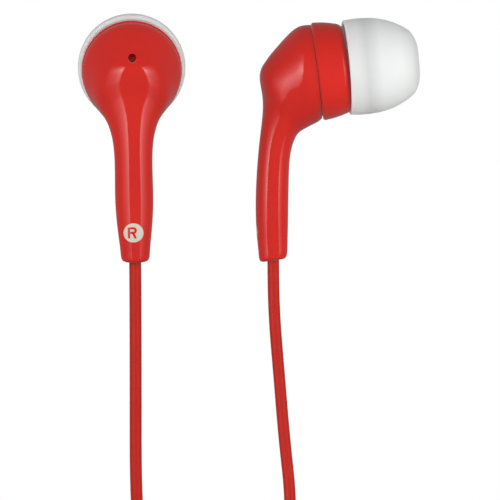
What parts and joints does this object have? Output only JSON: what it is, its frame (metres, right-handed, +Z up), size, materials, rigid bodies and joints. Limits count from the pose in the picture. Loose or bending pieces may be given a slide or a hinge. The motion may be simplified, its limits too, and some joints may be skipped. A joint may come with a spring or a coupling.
{
  "type": "wired earphones",
  "caption": "In-ear earphones with round heads, hollow stems and silicone ear tips, on thin cords that join at a splitter and end in a stereo plug.",
  "frame": {"origin": "on the axis of the right nozzle, 3 mm beyond the front of its housing, where the right ear tip is widest and sits in the ear canal", "axes": "+Z up; the stems and cords hang along -Z; +Y is the way the right ear tip points, +X the way the left one points"},
  "size_m": [0.0457, 0.0263, 0.1731],
  "materials": {
    "shell": "glossy",
    "silicone": "milky, satin",
    "mesh": "perforated sheet",
    "vent_cloth": "fine weave",
    "driver_plastic": "matt",
    "steel": "machined",
    "magnet": "nickel plated",
    "copper": "enamelled copper",
    "film": "thin film",
    "board": "solder mask",
    "solder": "solder",
    "felt": "felt",
    "cord_sheath": "satin",
    "brass": "plain",
    "moulding": "satin",
    "plating": "nickel plated",
    "insulator": "matt",
    "tie": "satin"
  },
  "bodies": {
    "earphones": {"right_rear_shell": "shell", "right_front_housing": "shell", "right_nozzle_mesh": "mesh", "right_vent_mesh": "vent_cloth", "right_driver_frame": "driver_plastic", "right_yoke": "steel", "right_magnet": "magnet", "right_top_plate": "steel", "right_clamp_ring": "driver_plastic", "right_terminal_board": "board", "right_solder_joints": "solder", "right_damping_felt": "felt", "right_lead_wires": "copper", "right_cable_grommet": "cord_sheath", "right_cord_root": "cord_sheath", "right_cable_crimp": "brass", "right_branch_cord": "cord_sheath", "right_branch_hank": "cord_sheath", "right_branch_tail": "cord_sheath", "left_rear_shell": "shell", "left_front_housing": "shell", "left_nozzle_mesh": "mesh", "left_vent_mesh": "vent_cloth", "left_driver_frame": "driver_plastic", "left_yoke": "steel", "left_magnet": "magnet", "left_top_plate": "steel", "left_clamp_ring": "driver_plastic", "left_terminal_board": "board", "left_solder_joints": "solder", "left_damping_felt": "felt", "left_lead_wires": "copper", "left_cable_grommet": "cord_sheath", "left_cord_root": "cord_sheath", "left_cable_crimp": "brass", "left_branch_cord": "cord_sheath", "left_branch_hank": "cord_sheath", "left_branch_tail": "cord_sheath", "splitter": "moulding", "main_cord": "cord_sheath", "main_hank": "cord_sheath", "main_tail": "cord_sheath", "plug_grip": "moulding", "plug_sleeve": "plating", "plug_ring": "plating", "plug_tip": "plating", "plug_insulator": "insulator", "cable_tie": "tie"},
    "right_tip": {"right_ear_tip": "silicone"},
    "right_cone": {"right_voice_coil": "copper", "right_diaphragm": "film"},
    "left_tip": {"left_ear_tip": "silicone"},
    "left_cone": {"left_voice_coil": "copper", "left_diaphragm": "film"}
  },
  "joints": [
    {"name": "right_tip_slide", "type": "slide", "parent": "earphones", "child": "right_tip", "axis": [-0.0277, 0.9958, 0.0871], "range_m": [0, 0.012], "deforming": ["right_ear_tip"]},
    {"name": "right_cone_slide", "type": "slide", "parent": "earphones", "child": "right_cone", "axis": [-0.0285, 0.991, 0.1305], "range_m": [-0.00015, 0.00015], "stiffness_N_per_m": 100, "deforming": ["right_diaphragm"]},
    {"name": "left_tip_slide", "type": "slide", "parent": "earphones", "child": "left_tip", "axis": [0.9962, 0, 0.0872], "range_m": [0, 0.012], "deforming": ["left_ear_tip"]},
    {"name": "left_cone_slide", "type": "slide", "parent": "earphones", "child": "left_cone", "axis": [0.9914, 0, 0.1305], "range_m": [-0.00015, 0.00015], "stiffness_N_per_m": 100, "deforming": ["left_diaphragm"]}
  ]
}
